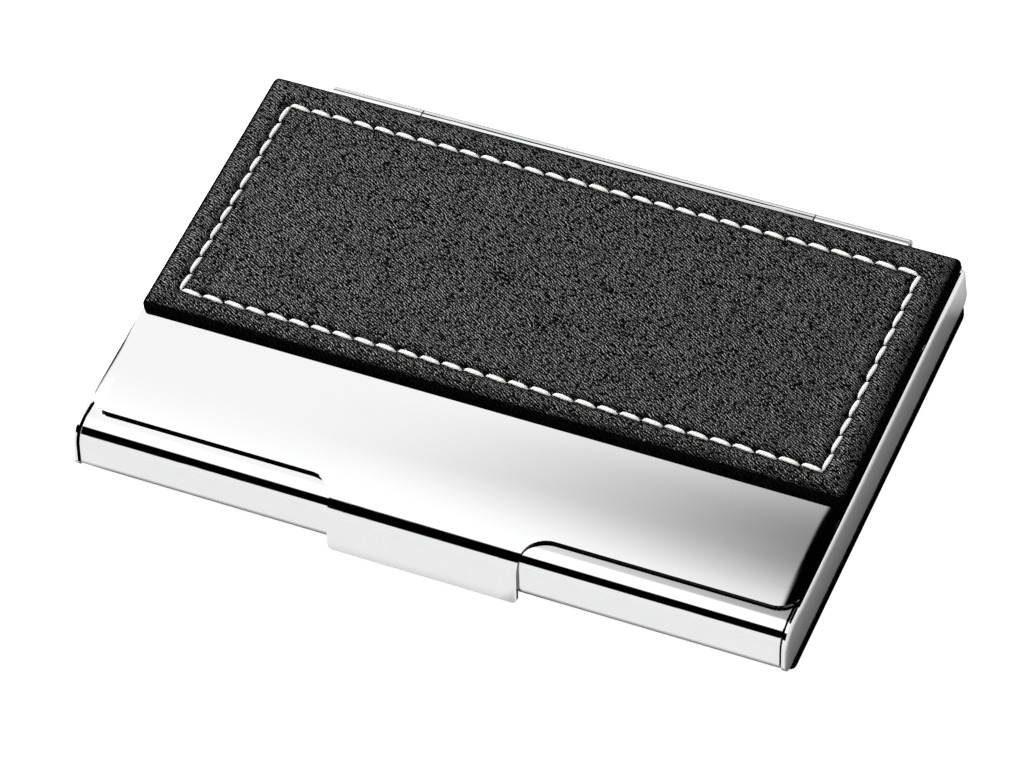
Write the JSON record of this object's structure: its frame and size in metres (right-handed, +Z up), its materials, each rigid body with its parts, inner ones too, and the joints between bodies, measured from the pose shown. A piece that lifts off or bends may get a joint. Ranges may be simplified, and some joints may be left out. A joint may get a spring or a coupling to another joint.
{
  "type": "business card case",
  "caption": "Slim hinged business card case: polished steel tray and lid with a thumb tab, black stitched leather panels on the lid and underneath.",
  "frame": {"origin": "centre of the closed case's bounding box, on the surface it rests on", "axes": "+X along the hinge to the right, +Y to the hinge at the back, +Z up through the lid"},
  "size_m": [0.0946, 0.0642, 0.0109],
  "materials": {
    "polished_steel": "mirror-polished stainless sheet",
    "pin_steel": "ground rod",
    "spring_steel": "rolled spring strip",
    "black_leather": "fine pebble grain, semi-matt",
    "foam": "matt sheet foam",
    "grey_board": "matt",
    "white_thread": "twisted polyester thread",
    "adhesive": "double-sided film"
  },
  "bodies": {
    "base": {"base_shell": "polished_steel", "hinge_pin": "pin_steel", "snap_spring": "spring_steel", "bottom_leather_cover": "black_leather", "bottom_foam_pad": "foam", "bottom_backing_board": "grey_board", "bottom_needle_thread": "white_thread", "bottom_bobbin_thread": "white_thread", "bottom_adhesive_film": "adhesive"},
    "lid": {"lid_plate": "polished_steel", "top_leather_cover": "black_leather", "top_foam_pad": "foam", "top_backing_board": "grey_board", "top_needle_thread": "white_thread", "top_bobbin_thread": "white_thread", "top_adhesive_film": "adhesive"}
  },
  "joints": [
    {"name": "lid_hinge", "type": "hinge", "parent": "base", "child": "lid", "pos_m": [0, 0.0308, 0.0081], "axis": [-1, 0, 0], "range_deg": [0, 110]}
  ]
}
